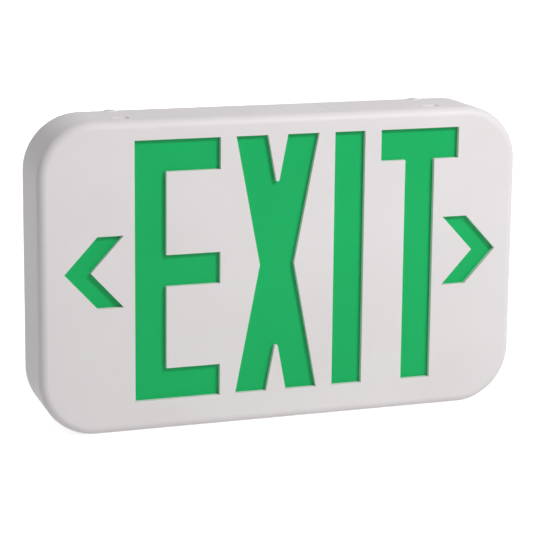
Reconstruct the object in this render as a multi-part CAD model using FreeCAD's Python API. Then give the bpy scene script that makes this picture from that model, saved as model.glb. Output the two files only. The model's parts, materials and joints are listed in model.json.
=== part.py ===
import FreeCAD, Part
import math
import os

# Emergency exit sign: moulded stencil housing, green diffuser, LED light box, battery and circuit board.
# Millimetres. Origin: centre of the flat back that lies on the wall. +X right, +Y into the wall, +Z up.
Vector = FreeCAD.Vector

# Housing
width = 292.0
height = 182.0
depth = 42.0
corner_radius = 33.0
front_edge_radius = 5.3
wall = 2.5
moving_gap = 0.3

# Stencil word and arrows, measured from the middle of the word's height
legend_x = 1.0
legend_z = 3.4
legend_recess = 6.0
rim_wall = 1.6
letter_height = 152.4
stroke = 18.6
e_left = -91.5
e_width = 50.8
x_width = 50.4
x_stroke_end = 19.1
x_waist = 21.0
x_notch_end = 49.0
x_notch_flat = 1.7
i_width = 18.8
t_width = 49.4
gap_e_x = 9.3
gap_x_i = 9.8
gap_i_t = 10.1
arrow_tip = 132.5
arrow_band = 15.3
arrow_run = 19.2
arrow_half_height = 20.9
arrow_rise = 1.25

# Top wall: canopy blank, latch slots and the low humps over the latches
canopy_x = 5.0
canopy_width = 52.0
canopy_length = 34.5
canopy_fit_gap = 0.2
canopy_lip = 3.0
canopy_lip_thick = 1.2
latch_inset = 51.0
latch_slot_length = 10.0
latch_slot_width = 6.0
latch_depth = 13.0
latch_arm_width = 8.0
latch_arm_thick = 1.6
latch_head_thick = 2.0
hump_width = 8.0
hump_height = 0.8
hump_length = 7.0
rib_height = 2.5
rib_thick = 1.6
rib_offsets = (-71.0, -43.0, 41.0, 65.0)

# Diffuser
diffuser_thick = 2.0
diffuser_side_gap = 3.0
boss_radius = 3.2
diffuser_screw_inset_x = 24.0
diffuser_screw_inset_z = 41.0

# Light box behind the diffuser
tray_side_gap = 5.5
tray_top_gap = 4.5
tray_wall = 1.2
tray_depth = 8.4
tray_corner = 26.0
post_radius = 3.6
post_inset_x = 18.0
post_inset_z = 16.0
led_board_end_gap = 38.0
led_board_thick = 1.6
led_board_margin = 0.4
led_count = 10
led_length = 3.5
led_width = 2.8
led_thick = 1.9

# Back plate
plate_thick = 2.5
flange_height = 7.0
flange_thick = 2.0
wire_entry_radius = 11.1
wire_collar_wall = 2.4
wire_collar_height = 1.5
box_slot_width = 4.6
box_slot_length = 10.0
box_slot_spacing_x = 88.9
box_slot_spacing_z = 83.3
keyhole_x = 50.0
keyhole_z = 58.0
keyhole_head_radius = 4.6
keyhole_slot_radius = 2.3
keyhole_rise = 9.0
plate_rib_x = 26.0
plate_rib_height = 2.0
plate_rib_end_gap = 12.5

# Self-tapping pan-head screw
screw_radius = 1.25
screw_head_radius = 2.7
screw_head_height = 1.8
screw_hole_gap = 0.25
screw_recess = 0.7
screw_tip_gap = 0.6
tray_screw_length = 9.0

# Circuit board and what stands on it
board_length = 76.0
board_height = 98.0
board_side_gap = 6.0
board_thick = 1.6
board_standoff = 4.5
standoff_radius = 3.0
board_screw_inset = 5.0

# Test button and pilot lamp on the right side wall
button_z = -20.0
pilot_drop = 14.0
switch_rise = 38.0
side_parts_depth = 17.0
button_radius = 4.0
button_running_gap = 0.08
button_proud = 1.2
button_travel = 1.5
button_collar = 1.5
button_collar_thick = 1.6
button_stem = 3.3
pilot_radius = 2.5
pilot_lip = 1.1
pilot_dome = 1.2

# Battery pack
cell_radius = 7.25
cell_length = 50.0
cell_count = 3
web_share = 0.72
battery_inset = 51.0
battery_seat = 1.0
strap_width = 12.0
strap_thick = 1.5
strap_foot = 9.0
strap_post_height = 4.0
strap_post_radius = 3.2
cradle_stop = 1.6
cradle_seat = 4.0

# Leads
lead_radius = 0.9
lead_pitch = 2.4
clip_wall = 1.4
clip_length = 4.0
led_slot_length = 8.0

half_w = width / 2
half_h = height / 2
inner_w = half_w - wall
inner_h = half_h - wall
face_y = -depth
face_back_y = face_y + wall
diffuser_y = face_y + legend_recess
diffuser_back_y = diffuser_y + diffuser_thick
tray_front_y = diffuser_back_y + moving_gap
tray_back_y = tray_front_y + tray_depth
tray_w = inner_w - tray_side_gap
tray_h = inner_h - tray_top_gap
plate_y = -plate_thick
flange_y = plate_y - flange_height
board_back_y = plate_y - board_standoff
board_y = board_back_y - board_thick
side_parts_y = -side_parts_depth
latch_y = face_y + latch_depth
letter_half = letter_height / 2
latch_x = half_w - latch_inset
diffuser_screw_x = half_w - diffuser_screw_inset_x
diffuser_screw_z = half_h - diffuser_screw_inset_z
post_x = tray_w - post_inset_x
post_z = tray_h - post_inset_z
led_board_half = tray_w - led_board_end_gap
board_right = tray_w - board_side_gap
board_left = board_right - board_length
board_bottom = button_z - switch_rise
board_top = board_bottom + board_height
pilot_z = button_z - pilot_drop
battery_x = battery_inset - half_w
battery_half_z = cell_radius * cell_count
battery_back_y = plate_y - battery_seat
battery_axis_y = battery_back_y - cell_radius
battery_front_y = battery_axis_y - cell_radius
battery_end = battery_x + cell_length / 2
strap_post_y = plate_y - strap_post_height
strap_screw_z = battery_half_z + strap_thick + strap_foot / 2


def block(x0, x1, y0, y1, z0, z1):
    return Part.makeBox(x1 - x0, y1 - y0, z1 - z0, Vector(x0, y0, z0))


def rod_x(y, z, radius, x0, x1):
    return Part.makeCylinder(radius, x1 - x0, Vector(x0, y, z), Vector(1, 0, 0))


def rod_y(x, z, radius, y0, y1):
    return Part.makeCylinder(radius, y1 - y0, Vector(x, y0, z), Vector(0, 1, 0))


def rod_z(x, y, radius, z0, z1):
    return Part.makeCylinder(radius, z1 - z0, Vector(x, y, z0), Vector(0, 0, 1))


def edges_along(shape, direction):
    """Straight edges of a shape that run along one direction."""
    return [e for e in shape.Edges
            if abs(abs(e.tangentAt(e.FirstParameter).dot(direction)) - 1) < 1e-6 and len(e.Vertexes) == 2]


def edges_at_depth(shape, y):
    return [e for e in shape.Edges if all(abs(v.Y - y) < 1e-6 for v in e.Vertexes)]


def rounded_plate(half_width, half_height, radius, y0, y1):
    """Plate facing the viewer, with its four corners rounded."""
    plate = block(-half_width, half_width, y0, y1, -half_height, half_height)
    return plate.makeFillet(radius, edges_along(plate, Vector(0, 1, 0)))


def prism(outline, y0, y1):
    """Solid between two depths from an outline of (x, z) corners."""
    corners = [Vector(x, y0, z) for x, z in outline]
    wire = Part.makePolygon(corners + corners[:1])
    return Part.Face(wire).extrude(Vector(0, y1 - y0, 0))


def grown_prism(outline, growth, y0, y1):
    """The same solid with its outline moved outward by the growth."""
    corners = [Vector(x, y0, z) for x, z in outline]
    wire = Part.makePolygon(corners + corners[:1]).makeOffset2D(growth, 2)
    return Part.Face(wire).extrude(Vector(0, y1 - y0, 0))


def obround_y(x, z, radius, length, y0, y1, along_x=True):
    """Round-ended slot through the depth."""
    reach = length / 2 - radius
    dx, dz = (reach, 0) if along_x else (0, reach)
    ends = [rod_y(x + s * dx, z + s * dz, radius, y0, y1) for s in (-1, 1)]
    if along_x:
        middle = block(x - reach, x + reach, y0, y1, z - radius, z + radius)
    else:
        middle = block(x - radius, x + radius, y0, y1, z - reach, z + reach)
    return middle.fuse(ends).removeSplitter()


def fused(parts):
    return parts[0].fuse(parts[1:]).removeSplitter()


def letter_e(left):
    right = left + e_width
    stem = left + stroke
    mid = stroke / 2
    arm = letter_half - stroke
    return [(left, letter_half), (right, letter_half), (right, arm), (stem, arm), (stem, mid), (right, mid),
            (right, -mid), (stem, -mid), (stem, -arm), (right, -arm), (right, -letter_half), (left, -letter_half)]


def letter_x(left):
    centre = left + x_width / 2
    quarter = [(x_waist / 2, 0), (x_width / 2, letter_half), (x_width / 2 - x_stroke_end, letter_half),
               (x_notch_flat / 2, x_notch_end)]
    upper = quarter + [(-x, z) for x, z in reversed(quarter)]
    lower = [(x, -z) for x, z in reversed(upper)][1:-1]
    return [(centre + x, z) for x, z in upper + lower]


def letter_i(left):
    right = left + i_width
    return [(left, letter_half), (right, letter_half), (right, -letter_half), (left, -letter_half)]


def letter_t(left):
    right = left + t_width
    stem_left = left + (t_width - stroke) / 2
    stem_right = stem_left + stroke
    arm = letter_half - stroke
    return [(left, letter_half), (right, letter_half), (right, arm), (stem_right, arm),
            (stem_right, -letter_half), (stem_left, -letter_half), (stem_left, arm), (left, arm)]


def arrow(side):
    """Chevron pointing away from the word, on the left (-1) or the right (1)."""
    outer = arrow_tip - arrow_run
    top = arrow_rise + arrow_half_height
    bottom = arrow_rise - arrow_half_height
    return [(side * x, z) for x, z in ((outer, top), (arrow_tip, arrow_rise), (outer, bottom),
                                       (outer - arrow_band, bottom), (arrow_tip - arrow_band, arrow_rise),
                                       (outer - arrow_band, top))]


def legend_outlines():
    x_left = e_left + e_width + gap_e_x
    i_left = x_left + x_width + gap_x_i
    t_left = i_left + i_width + gap_i_t
    shapes = [letter_e(e_left), letter_x(x_left), letter_i(i_left), letter_t(t_left), arrow(-1), arrow(1)]
    return [[(x + legend_x, z + legend_z) for x, z in shape] for shape in shapes]


def four_corners(x, z):
    return [(sx * x, sz * z) for sx in (-1, 1) for sz in (-1, 1)]


def screw_y(x, z, head_y, length):
    """Pan-head screw driven from the side at head_y; a positive length points to the wall."""
    if length > 0:
        shank = rod_y(x, z, screw_radius, head_y, head_y + length)
        head = rod_y(x, z, screw_head_radius, head_y - screw_head_height, head_y)
        crown_y = head_y - screw_head_height
        recess_y = (crown_y, crown_y + screw_recess)
    else:
        shank = rod_y(x, z, screw_radius, head_y + length, head_y)
        head = rod_y(x, z, screw_head_radius, head_y, head_y + screw_head_height)
        crown_y = head_y + screw_head_height
        recess_y = (crown_y - screw_recess, crown_y)
    head = head.makeFillet(screw_head_height / 2, edges_at_depth(head, crown_y))
    arm = screw_head_radius * 0.6
    slit = screw_head_radius * 0.12
    cross = block(x - arm, x + arm, recess_y[0], recess_y[1], z - slit, z + slit)
    cross = cross.fuse(block(x - slit, x + slit, recess_y[0], recess_y[1], z - arm, z + arm))
    return head.fuse(shank).cut(cross).removeSplitter()


def front_housing():
    """One moulding: stencil face, deep skirt, light-tight rims round the word and arrows."""
    outer = rounded_plate(half_w, half_h, corner_radius, face_y, 0)
    outer = outer.makeFillet(front_edge_radius, edges_at_depth(outer, face_y))
    hollow = rounded_plate(inner_w, inner_h, corner_radius - wall, face_back_y, 1)
    hollow = hollow.makeFillet(front_edge_radius - wall, edges_at_depth(hollow, face_back_y))
    shell = outer.cut(hollow)
    rims = [grown_prism(shape, rim_wall, face_back_y, diffuser_y) for shape in legend_outlines()]
    bosses = [rod_y(x, z, boss_radius, face_back_y, diffuser_y)
              for x, z in four_corners(diffuser_screw_x, diffuser_screw_z)]
    body = shell.fuse(rims + bosses + skirt_ribs() + latch_humps())
    cuts = [prism(shape, face_y - 1, diffuser_y + 1) for shape in legend_outlines()]
    cuts += [rod_y(x, z, screw_radius, face_y + wall / 2, diffuser_y + 1)
             for x, z in four_corners(diffuser_screw_x, diffuser_screw_z)]
    cuts += [latch_slot(sx * latch_x, sz) for sx in (-1, 1) for sz in (-1, 1)]
    cuts.append(block(canopy_x - canopy_width / 2, canopy_x + canopy_width / 2, -canopy_length, 1,
                      inner_h - 1, half_h + 1))
    cuts.append(rod_x(side_parts_y, button_z, button_radius + button_running_gap, inner_w - 1, half_w + 1))
    cuts.append(rod_x(side_parts_y, pilot_z, pilot_radius, inner_w - 1, half_w + 1))
    return body.cut(cuts).removeSplitter()


def skirt_ribs():
    """Stop ribs inside the top and bottom walls, ending just short of the back plate's flange."""
    back = flange_y - moving_gap
    ribs = []
    for offset in rib_offsets:
        x = canopy_x + offset
        for side in (-1, 1):
            low, high = sorted((side * (inner_h - rib_height), side * (inner_h + wall / 2)))
            ribs.append(block(x - rib_thick / 2, x + rib_thick / 2, diffuser_back_y, back, low, high))
    return ribs


def latch_humps():
    """Low humps moulded on the top wall's rear edge over the two latches."""
    hump_radius = (hump_width ** 2 / 4 + hump_height ** 2) / (2 * hump_height)
    centre_z = half_h + hump_height - hump_radius
    humps = []
    for x in (-latch_x, latch_x):
        arch = rod_y(x, centre_z, hump_radius, -hump_length, 0)
        humps.append(arch.common(block(x - hump_width, x + hump_width, -hump_length, 0,
                                       half_h - wall / 2, half_h + 2 * hump_height)))
    return humps


def latch_slot(x, side):
    """Release slot through the top (1) or bottom (-1) wall."""
    radius = latch_slot_width / 2
    reach = latch_slot_length / 2 - radius
    z0, z1 = sorted((side * (inner_h - 1), side * (half_h + 1)))
    middle = block(x - reach, x + reach, latch_y - radius, latch_y + radius, z0, z1)
    return middle.fuse([rod_z(x + s * reach, latch_y, radius, z0, z1) for s in (-1, 1)]).removeSplitter()


def canopy_blank():
    """Snap-in cover for the ceiling canopy opening in the top wall, with a lip under the wall."""
    half = canopy_width / 2 - canopy_fit_gap
    front = -canopy_length + canopy_fit_gap
    plate = block(canopy_x - half, canopy_x + half, front, 0, inner_h, half_h - canopy_fit_gap)
    corners = edges_along(plate, Vector(0, 0, 1))
    plate = plate.makeFillet(0.5, [e for e in corners if e.Vertexes[0].Y < -1])
    lip_half = half + canopy_lip
    lip = block(canopy_x - lip_half, canopy_x + lip_half, front - canopy_lip / 2, flange_y - moving_gap,
                inner_h - canopy_lip_thick, inner_h)
    return fused([plate, lip])


def diffuser_panel():
    panel = rounded_plate(inner_w - diffuser_side_gap, inner_h - diffuser_side_gap,
                          corner_radius - wall - diffuser_side_gap, diffuser_y, diffuser_back_y)
    holes = [rod_y(x, z, screw_radius + screw_hole_gap, diffuser_y - 1, diffuser_back_y + 1)
             for x, z in four_corners(diffuser_screw_x, diffuser_screw_z)]
    return panel.cut(holes)


def diffuser_screws():
    length = diffuser_back_y - face_y - wall / 2 - screw_tip_gap
    return Part.makeCompound([screw_y(x, z, diffuser_back_y, -length)
                              for x, z in four_corners(diffuser_screw_x, diffuser_screw_z)])


def reflector_tray():
    """White light box: floor on four posts, walls up to the diffuser."""
    outer = rounded_plate(tray_w, tray_h, tray_corner, tray_front_y, tray_back_y)
    hollow = rounded_plate(tray_w - tray_wall, tray_h - tray_wall, tray_corner - tray_wall,
                           tray_front_y - 1, tray_back_y - tray_wall)
    holes = [rod_y(x, z, screw_radius + screw_hole_gap, tray_back_y - 2 * tray_wall, tray_back_y + 1)
             for x, z in four_corners(post_x, post_z)]
    holes += [obround_y(x, sz * led_lead_z, 2 * lead_radius, led_slot_length,
                        tray_back_y - 2 * tray_wall, tray_back_y + 1)
              for sz, x in ((1, led_lead_x), (-1, led_lead_x))]
    return outer.cut([hollow] + holes)


def tray_screws():
    return Part.makeCompound([screw_y(x, z, tray_back_y - tray_wall, tray_screw_length)
                              for x, z in four_corners(post_x, post_z)])


def led_board(side):
    """LED strip on the light box's top (1) or bottom (-1) wall, facing the middle."""
    seat = side * (tray_h - tray_wall)
    z0, z1 = sorted((seat, seat - side * led_board_thick))
    return block(-led_board_half, led_board_half, tray_front_y + led_board_margin,
                 tray_back_y - tray_wall, z0, z1)


def leds(side):
    seat = side * (tray_h - tray_wall - led_board_thick)
    z0, z1 = sorted((seat, seat - side * led_thick))
    mid_y = (tray_front_y + led_board_margin + tray_back_y - tray_wall) / 2
    pitch = 2 * led_board_half / led_count
    packages = []
    for n in range(led_count):
        x = (n - (led_count - 1) / 2) * pitch
        body = block(x - led_length / 2, x + led_length / 2, mid_y - led_width / 2, mid_y + led_width / 2,
                     z0, z1)
        packages.append(body.makeChamfer(0.25, edges_along(body, Vector(0, 0, 1))))
    return Part.makeCompound(packages)


def latch_arm(x, side):
    """Spring arm that reaches forward under the wall to its release slot."""
    outer = inner_h - moving_gap
    tip = latch_y - latch_slot_width / 2 - 1.0
    spans = ((tip, plate_y, latch_arm_thick), (tip, latch_y + latch_slot_width / 2, latch_head_thick))
    pieces = []
    for y0, y1, thick in spans:
        z0, z1 = sorted((side * outer, side * (outer - thick)))
        pieces.append(block(x - latch_arm_width / 2, x + latch_arm_width / 2, y0, y1, z0, z1))
    return fused(pieces)


def keyhole(x, z):
    head = rod_y(x, z, keyhole_head_radius, plate_y - 1, 1)
    neck = block(x - keyhole_slot_radius, x + keyhole_slot_radius, plate_y - 1, 1, z, z + keyhole_rise)
    return head.fuse([neck, rod_y(x, z + keyhole_rise, keyhole_slot_radius, plate_y - 1, 1)]).removeSplitter()


def board_screw_places():
    return [(x, z) for x in (board_left + board_screw_inset, board_right - board_screw_inset)
            for z in (board_bottom + board_screw_inset, board_top - board_screw_inset)]


def back_plate():
    """Wall plate with its flange, posts, standoffs, battery cradle, latches and mounting holes."""
    half_width = inner_w - moving_gap
    half_height = inner_h - moving_gap
    radius = corner_radius - wall - moving_gap
    plate = rounded_plate(half_width, half_height, radius, plate_y, 0)
    rim = rounded_plate(half_width, half_height, radius, flange_y, plate_y)
    rim = rim.cut(rounded_plate(half_width - flange_thick, half_height - flange_thick, radius - flange_thick,
                                flange_y - 1, plate_y))
    parts = [plate, rim]
    parts += [rod_y(x, z, post_radius, tray_back_y, plate_y) for x, z in four_corners(post_x, post_z)]
    parts += [rod_y(x, z, standoff_radius, board_back_y, plate_y) for x, z in board_screw_places()]
    parts += [latch_arm(sx * latch_x, sz) for sx in (-1, 1) for sz in (-1, 1)]
    parts.append(rod_y(0, 0, wire_entry_radius + wire_collar_wall, plate_y - wire_collar_height, plate_y))
    parts += [block(sx * plate_rib_x - rib_thick / 2, sx * plate_rib_x + rib_thick / 2,
                    plate_y - plate_rib_height, plate_y,
                    plate_rib_end_gap - inner_h, inner_h - plate_rib_end_gap) for sx in (-1, 1)]
    parts += battery_cradle() + strap_posts() + lead_clips()
    cuts = [rod_y(0, 0, wire_entry_radius, plate_y - wire_collar_height - 1, 1)]
    cuts += [obround_y(sx * box_slot_spacing_x / 2, 0, box_slot_width / 2, box_slot_length, plate_y - 1, 1)
             for sx in (-1, 1)]
    cuts += [obround_y(0, sz * box_slot_spacing_z / 2, box_slot_width / 2, box_slot_length, plate_y - 1, 1, False)
             for sz in (-1, 1)]
    cuts += [keyhole(sx * keyhole_x, keyhole_z) for sx in (-1, 1)]
    cuts += [rod_y(x, z, screw_radius, tray_back_y - 1, tray_back_y + tray_screw_length)
             for x, z in four_corners(post_x, post_z)]
    cuts += [rod_y(x, z, screw_radius, board_back_y - 1, plate_y + 1) for x, z in board_screw_places()]
    cuts += [rod_y(battery_x, z, screw_radius, strap_post_y - 1, plate_y + 1)
             for z in (-strap_screw_z, strap_screw_z)]
    return fused(parts).cut(cuts).removeSplitter()


def battery_cradle():
    """Two seats under the pack and a stop at each end."""
    seats = []
    for s in (-1, 1):
        x = battery_x + s * cell_length / 3
        seats.append(block(x - cradle_seat / 2, x + cradle_seat / 2, battery_back_y, plate_y,
                           -battery_half_z + cell_radius, battery_half_z - cell_radius))
    stops = []
    for s in (-1, 1):
        end = battery_x + s * cell_length / 2
        x0, x1 = sorted((end, end + s * cradle_stop))
        stops.append(block(x0, x1, plate_y - cell_radius, plate_y, -cell_radius / 2, cell_radius / 2))
    return seats + stops


def strap_posts():
    return [rod_y(battery_x, z, strap_post_radius, strap_post_y, plate_y)
            for z in (-strap_screw_z, strap_screw_z)]


def battery_pack():
    """Three shrink-wrapped cells side by side, one sealed pack."""
    x0 = battery_x - cell_length / 2
    x1 = battery_x + cell_length / 2
    spread = cell_radius * (cell_count - 1)
    cells = [rod_x(battery_axis_y, -spread + 2 * cell_radius * n, cell_radius, x0, x1)
             for n in range(cell_count)]
    web_half = cell_radius * web_share
    web = block(x0, x1, battery_axis_y - web_half, battery_axis_y + web_half, -spread, spread)
    return fused(cells + [web])


def battery_strap():
    """Moulded strap over the pack, with a screwed foot on each side."""
    inner = battery_half_z
    outer = inner + strap_thick
    foot = outer + strap_foot
    front = battery_front_y - strap_thick
    foot_front = strap_post_y - strap_thick
    profile = [(foot, strap_post_y), (inner, strap_post_y), (inner, battery_front_y), (-inner, battery_front_y),
               (-inner, strap_post_y), (-foot, strap_post_y), (-foot, foot_front), (-outer, foot_front),
               (-outer, front), (outer, front), (outer, foot_front), (foot, foot_front)]
    corners = [Vector(battery_x - strap_width / 2, y, z) for z, y in profile]
    strap = Part.Face(Part.makePolygon(corners + corners[:1])).extrude(Vector(strap_width, 0, 0))
    holes = [rod_y(battery_x, z, screw_radius + screw_hole_gap, foot_front - 1, strap_post_y + 1)
             for z in (-strap_screw_z, strap_screw_z)]
    return strap.cut(holes)


def strap_screws():
    return Part.makeCompound([screw_y(battery_x, z, strap_post_y - strap_thick,
                                      strap_thick + strap_post_height - screw_tip_gap)
                              for z in (-strap_screw_z, strap_screw_z)])


def main_board():
    board = block(board_left, board_right, board_y, board_back_y, board_bottom, board_top)
    board = board.makeFillet(2.0, edges_along(board, Vector(0, 1, 0)))
    return board.cut([rod_y(x, z, screw_radius + screw_hole_gap, board_y - 1, board_back_y + 1)
                      for x, z in board_screw_places()])


def board_screws():
    return Part.makeCompound([screw_y(x, z, board_y, board_thick + board_standoff - screw_tip_gap)
                              for x, z in board_screw_places()])


# Transformer on the circuit board
transformer_from_left = 26.0
transformer_from_top = 22.0
core_width = 30.0
core_height = 26.0
core_stack = 8.0
core_leg = 8.0
core_side_leg = 4.0
coil_height = 15.2
coil_width = 19.0
bobbin_wall = 0.8
transformer_x = board_left + transformer_from_left
transformer_z = board_top - transformer_from_top
transformer_y = board_y - coil_height / 2


def transformer_core():
    """Laminated E and I stack with two windows."""
    y0 = transformer_y - core_stack / 2
    y1 = transformer_y + core_stack / 2
    core = block(transformer_x - core_width / 2, transformer_x + core_width / 2, y0, y1,
                 transformer_z - core_height / 2, transformer_z + core_height / 2)
    window_width = core_width / 2 - core_side_leg - core_leg / 2
    window_half = core_height / 2 - core_side_leg
    for s in (-1, 1):
        mid = transformer_x + s * (core_leg / 2 + window_width / 2)
        core = core.cut(block(mid - window_width / 2, mid + window_width / 2, y0 - 1, y1 + 1,
                              transformer_z - window_half, transformer_z + window_half))
    return core


def coil_tube(half_x, half_y, half_z, bore_growth):
    tube = block(transformer_x - half_x, transformer_x + half_x, transformer_y - half_y, transformer_y + half_y,
                 transformer_z - half_z, transformer_z + half_z)
    bore_x = core_leg / 2 + bore_growth
    bore_y = core_stack / 2 + bore_growth
    return tube.cut(block(transformer_x - bore_x, transformer_x + bore_x, transformer_y - bore_y,
                          transformer_y + bore_y, transformer_z - half_z - 1, transformer_z + half_z + 1))


def transformer_bobbin():
    """Former round the middle leg: a thin tube with a flange at each end."""
    length = core_height / 2 - core_side_leg
    flange = coil_tube(coil_width / 2, coil_height / 2, length, 0.0)
    winding = coil_tube(coil_width / 2 + 1, coil_height / 2 + 1, length - bobbin_wall, bobbin_wall)
    return flange.cut(winding)


def transformer_coil():
    length = core_height / 2 - core_side_leg - bobbin_wall
    coil = coil_tube(coil_width / 2 - 0.4, coil_height / 2 - 0.4, length, bobbin_wall)
    outer_edges = [e for e in edges_along(coil, Vector(0, 0, 1))
                   if abs(e.Vertexes[0].X - transformer_x) > core_leg / 2 + bobbin_wall + 0.1]
    return coil.makeFillet(1.5, outer_edges)


# Smaller parts on the board: (from its left edge, from its bottom edge), then their sizes
can_places = ((52.0, 86.0, 5.0, 14.0), (54.0, 72.0, 4.0, 11.0))
can_groove_base = 1.5
can_groove_width = 0.7
can_groove_depth = 0.4
can_edge = 0.6
film_place = (44.0, 54.0)
film_length = 13.0
film_width = 5.5
film_tall = 11.0
film_edge = 0.8
relay_place = (16.0, 42.0)
relay_length = 20.0
relay_width = 12.0
relay_tall = 14.0
relay_edge = 0.6
axial_count = 4
axial_pitch = 4.5
axial_leg_radius = 0.35
axial_leg_reach = 2.0
diode_place = (44.0, 46.0)
diode_radius = 1.3
diode_length = 5.0
resistor_place = (24.0, 34.0)
resistor_radius = 1.2
resistor_length = 6.0


def can_capacitor(x, z, radius, tall):
    """Electrolytic capacitor with its rolled groove."""
    can = rod_y(x, z, radius, board_y - tall, board_y)
    groove_y = board_y - can_groove_base
    ring = rod_y(x, z, radius + 1, groove_y - can_groove_width, groove_y)
    core = rod_y(x, z, radius - can_groove_depth, groove_y - 2 * can_groove_width, groove_y + can_groove_width)
    can = can.cut(ring.cut(core))
    return can.makeFillet(can_edge, edges_at_depth(can, board_y - tall))


def filter_capacitors():
    return Part.makeCompound([can_capacitor(board_left + x, board_bottom + z, radius, tall)
                              for x, z, radius, tall in can_places])


def film_capacitor():
    x0 = board_left + film_place[0]
    z0 = board_bottom + film_place[1]
    front = board_y - film_tall
    cap = block(x0, x0 + film_length, front, board_y, z0, z0 + film_width)
    return cap.makeFillet(film_edge, edges_along(cap, Vector(0, 1, 0)) + edges_at_depth(cap, front))


def transfer_relay():
    x0 = board_left + relay_place[0]
    z0 = board_bottom + relay_place[1]
    relay = block(x0, x0 + relay_length, board_y - relay_tall, board_y, z0, z0 + relay_width)
    return relay.makeChamfer(relay_edge, edges_at_depth(relay, board_y - relay_tall))


def axial_part(x, z, radius, length):
    """Diode or resistor lying on the board along X with its two bent legs."""
    lift = radius
    body = rod_x(board_y - lift, z, radius, x - length / 2, x + length / 2)
    legs = []
    for s in (-1, 1):
        end = x + s * (length / 2 + axial_leg_reach)
        x0, x1 = sorted((x + s * length / 2, end))
        legs.append(rod_x(board_y - lift, z, axial_leg_radius, x0, x1))
        legs.append(rod_y(end, z, axial_leg_radius, board_y - lift, board_y))
    return fused([body] + legs)


def axial_row(place, radius, length):
    return Part.makeCompound([axial_part(board_left + place[0], board_bottom + place[1] - axial_pitch * n,
                                         radius, length) for n in range(axial_count)])


def rectifier_diodes():
    return axial_row(diode_place, diode_radius, diode_length)


def resistors():
    return axial_row(resistor_place, resistor_radius, resistor_length)


# Supply terminal, battery plug and LED header on the board's edges
terminal_from_bottom = 58.0
terminal_z = board_bottom + terminal_from_bottom
terminal_pitch = 5.0
terminal_length = 10.0
terminal_height = 11.0
terminal_ways = 3
terminal_entry_depth = 7.0
terminal_entry_base = 1.0
terminal_entry = 3.6
terminal_screw_inset = 4.5
terminal_screw_radius = 1.9
terminal_screw_drop = 1.0
terminal_slit_depth = 0.7
terminal_slit = 0.6
header_width = 8.0
header_depth = 6.0
header_height = 5.5
header_edge = 0.5
plug_inset = 1.0
plug_from_bottom = 12.0
battery_plug_z = board_bottom + plug_from_bottom
led_header_from_left = 28.0
led_header_x = board_left + led_header_from_left
led_header_inset = 6.0


def terminal_way_z(n):
    return terminal_z + (n - (terminal_ways - 1) / 2) * terminal_pitch


def terminal_block():
    """Screw terminal for the supply wires, open towards the wire entry."""
    half = terminal_pitch * terminal_ways / 2
    front = board_y - terminal_height
    body = block(board_left, board_left + terminal_length, front, board_y, terminal_z - half, terminal_z + half)
    base_y = board_y - terminal_entry_base
    cuts = []
    for n in range(terminal_ways):
        z = terminal_way_z(n)
        cuts.append(block(board_left - 1, board_left + terminal_entry_depth, base_y - terminal_entry, base_y,
                          z - terminal_entry / 2, z + terminal_entry / 2))
        cuts.append(rod_y(board_left + terminal_screw_inset, z, terminal_screw_radius, front - 1,
                          base_y - terminal_entry / 2))
    return body.cut(cuts)


def terminal_screws():
    x = board_left + terminal_screw_inset
    front = board_y - terminal_height + terminal_screw_drop
    reach = 2 * terminal_screw_radius
    screws = []
    for n in range(terminal_ways):
        z = terminal_way_z(n)
        screw = rod_y(x, z, terminal_screw_radius, front, board_y - terminal_entry_base - terminal_entry)
        slit = block(x - reach, x + reach, front - 1, front + terminal_slit_depth,
                     z - terminal_slit / 2, z + terminal_slit / 2)
        screws.append(screw.cut(slit))
    return Part.makeCompound(screws)


def battery_plug():
    """Two-way plug on the board's left edge."""
    x0 = board_left + plug_inset
    body = block(x0, x0 + header_depth, board_y - header_height, board_y,
                 battery_plug_z - header_width / 2, battery_plug_z + header_width / 2)
    return body.makeChamfer(header_edge, edges_along(body, Vector(1, 0, 0)))


def led_header_z(side):
    return board_top - led_header_inset if side > 0 else board_bottom + led_header_inset


def led_header(side):
    """Two-way header near the board's top (1) or bottom (-1) edge for one LED strip."""
    z = led_header_z(side)
    body = block(led_header_x - header_width / 2, led_header_x + header_width / 2,
                 board_y - header_height, board_y, z - header_depth / 2, z + header_depth / 2)
    return body.makeChamfer(header_edge, edges_along(body, Vector(0, 1, 0)))


# Test switch, button and pilot lamp
switch_length = 10.0
switch_half_z = 4.0
plunger_radius = 1.6
plunger_end = inner_w - button_stem - button_travel - moving_gap
switch_overhang = 2.0
switch_edge = 0.5
switch_front_y = side_parts_y - switch_half_z
button_edge = 0.6
pilot_barrel = 1.5
pilot_lip_thick = 1.2
pilot_led_radius = 1.5
pilot_led_reach = 2.6
pilot_led_overhang = 1.5
pilot_holder = 5.0


def test_switch():
    """Push switch at the board's right edge, its plunger towards the button."""
    x1 = board_right + switch_overhang
    body = block(x1 - switch_length, x1, switch_front_y, board_y,
                 button_z - switch_half_z, button_z + switch_half_z)
    body = body.makeChamfer(switch_edge, edges_along(body, Vector(1, 0, 0)))
    return fused([body, rod_x(side_parts_y, button_z, plunger_radius, x1, plunger_end)])


def test_button():
    """Push button in the side wall: stem, inner collar and a rounded cap that stands proud."""
    end = half_w + button_proud
    shaft = rod_x(side_parts_y, button_z, button_radius, inner_w - button_stem, end)
    shaft = shaft.makeFillet(button_edge, [e for e in shaft.Edges
                                           if all(abs(v.X - end) < 1e-6 for v in e.Vertexes)])
    collar_face = inner_w - moving_gap
    collar = rod_x(side_parts_y, button_z, button_radius + button_collar, collar_face - button_collar_thick,
                   collar_face)
    return fused([shaft, collar])


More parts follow.
